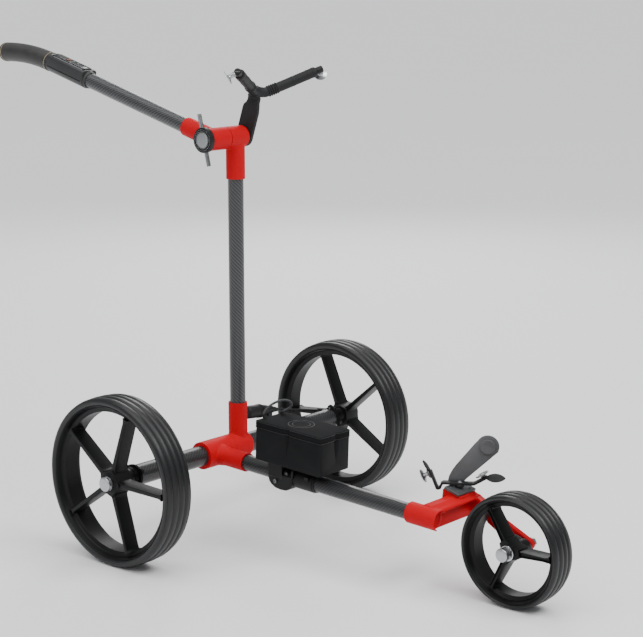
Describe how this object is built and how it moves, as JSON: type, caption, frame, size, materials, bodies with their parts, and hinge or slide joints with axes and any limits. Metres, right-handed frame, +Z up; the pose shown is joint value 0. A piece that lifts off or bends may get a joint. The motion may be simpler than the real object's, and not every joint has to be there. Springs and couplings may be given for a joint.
{
  "type": "electric golf trolley",
  "caption": "Three-wheeled electric golf trolley: folding carbon mast and handle, red cast joints, battery on an offset front tube, and swivelling bag brackets.",
  "frame": {"origin": "on the ground under the middle of the trolley's overall box", "axes": "+Z up; -Y forwards, towards the single front wheel; -X the trolley's own right-hand side"},
  "size_m": [0.6694, 1.3138, 0.8763],
  "materials": {
    "red_paint": "satin bright red paint on castings",
    "carbon": "dark carbon fibre twill under a satin lacquer",
    "black_plastic": "fine-grained black moulding",
    "soft_black": "dull black moulding",
    "bracket_black": "black powder coat on formed sheet",
    "tyre": "dark ribbed rubber with a soft shine",
    "button_rubber": "dull moulded rubber",
    "leather": "dark leather with a soft sheen",
    "grey_metal": "grained grey powder coat",
    "steel": "brushed",
    "aluminium": "satin turned aluminium",
    "button_orange": "dull orange cap",
    "display": "clear window",
    "cord": "round woven cord"
  },
  "bodies": {
    "chassis": {"axle_hub": "red_paint", "fold_hinge_pin": "steel", "right_motor_tube": "carbon", "left_motor_tube": "carbon", "right_motor_flange": "black_plastic", "left_motor_flange": "black_plastic", "front_tube": "carbon", "front_fork": "red_paint", "tracking_plate": "grey_metal", "front_axle_bolt": "aluminium", "battery_bracket": "black_plastic", "clamp_screw": "steel", "wiring_junction": "soft_black", "motor_lead": "soft_black", "bag_base_plate": "bracket_black"},
    "mast": {"mast_hub": "red_paint", "mast_tube": "carbon", "mast_joint": "red_paint"},
    "handle": {"handle_joint": "red_paint", "handle_tube": "carbon", "control_housing": "black_plastic", "keypad_panel": "soft_black", "display_window": "display", "grip": "leather"},
    "clamp": {"clamp_knob": "black_plastic", "clamp_knob_cap": "aluminium", "clamp_bar": "steel", "clamp_spindle": "steel"},
    "upper_bag_bracket": {"bag_bracket_plate": "bracket_black", "bag_bracket_yoke": "soft_black", "right_strap_hook": "aluminium", "left_strap_hook": "aluminium"},
    "lower_bag_bracket": {"bag_swivel_strap": "bracket_black", "bag_back_plate": "grey_metal", "bag_back_pad": "button_rubber", "right_base_hook": "aluminium", "left_base_hook": "aluminium"},
    "battery": {"battery_box": "black_plastic", "battery_lid": "black_plastic", "battery_carry_loop": "cord"},
    "right_rear_wheel": {"right_tyre": "tyre", "right_wheel": "black_plastic", "right_drive_shaft": "steel"},
    "left_rear_wheel": {"left_tyre": "tyre", "left_wheel": "black_plastic", "left_drive_shaft": "steel"},
    "front_wheel_assembly": {"front_tyre": "tyre", "front_wheel": "black_plastic"},
    "right_hub_release": {"right_hub_button": "aluminium"},
    "left_hub_release": {"left_hub_button": "aluminium"},
    "faster_key": {"faster_button": "button_rubber"},
    "slower_key": {"slower_button": "button_rubber"},
    "power_key": {"power_button": "button_orange"}
  },
  "joints": [
    {"name": "mast_fold", "type": "hinge", "parent": "chassis", "child": "mast", "pos_m": [0, 0.0731, 0.15], "axis": [1, 0, 0], "range_deg": [0, 60]},
    {"name": "handle_fold", "type": "hinge", "parent": "mast", "child": "handle", "pos_m": [0, 0.0731, 0.723], "axis": [1, 0, 0], "range_deg": [-92, 30]},
    {"name": "clamp_knob_turn", "type": "hinge", "parent": "mast", "child": "clamp", "pos_m": [0, 0.0731, 0.723], "axis": [-1, 0, 0], "range_deg": [-180, 180]},
    {"name": "upper_bag_bracket_tilt", "type": "hinge", "parent": "mast", "child": "upper_bag_bracket", "pos_m": [0, 0.0731, 0.723], "axis": [1, 0, 0], "range_deg": [-30, 30]},
    {"name": "lower_bag_bracket_swivel", "type": "hinge", "parent": "chassis", "child": "lower_bag_bracket", "pos_m": [0.027, -0.4179, 0.156], "axis": [0, 0, 1], "range_deg": [-30, 90]},
    {"name": "battery_lift", "type": "slide", "parent": "chassis", "child": "battery", "axis": [0, -0.0391, 0.9992], "range_m": [0, 0.025]},
    {"name": "right_wheel_roll", "type": "hinge", "parent": "chassis", "child": "right_rear_wheel", "pos_m": [-0.2975, 0.0731, 0.15], "axis": [1, 0, 0], "continuous": true},
    {"name": "left_wheel_roll", "type": "hinge", "parent": "chassis", "child": "left_rear_wheel", "pos_m": [0.2975, 0.0731, 0.15], "axis": [1, 0, 0], "continuous": true},
    {"name": "front_wheel_roll", "type": "hinge", "parent": "chassis", "child": "front_wheel_assembly", "pos_m": [-0.017, -0.5649, 0.095], "axis": [1, 0, 0], "continuous": true},
    {"name": "right_hub_button_press", "type": "slide", "parent": "right_rear_wheel", "child": "right_hub_release", "axis": [1, 0, 0], "range_m": [0, 0.003], "stiffness_N_per_m": 600, "springref_m": -0.001},
    {"name": "left_hub_button_press", "type": "slide", "parent": "left_rear_wheel", "child": "left_hub_release", "axis": [-1, 0, 0], "range_m": [0, 0.003], "stiffness_N_per_m": 600, "springref_m": -0.001},
    {"name": "faster_button_press", "type": "slide", "parent": "handle", "child": "faster_key", "axis": [0, 0.2672, -0.9636], "range_m": [0, 0.001], "stiffness_N_per_m": 400, "springref_m": -0.0004},
    {"name": "slower_button_press", "type": "slide", "parent": "handle", "child": "slower_key", "axis": [0, 0.2672, -0.9636], "range_m": [0, 0.001], "stiffness_N_per_m": 400, "springref_m": -0.0004},
    {"name": "power_button_press", "type": "slide", "parent": "handle", "child": "power_key", "axis": [0, 0.2672, -0.9636], "range_m": [0, 0.001], "stiffness_N_per_m": 400, "springref_m": -0.0004}
  ]
}
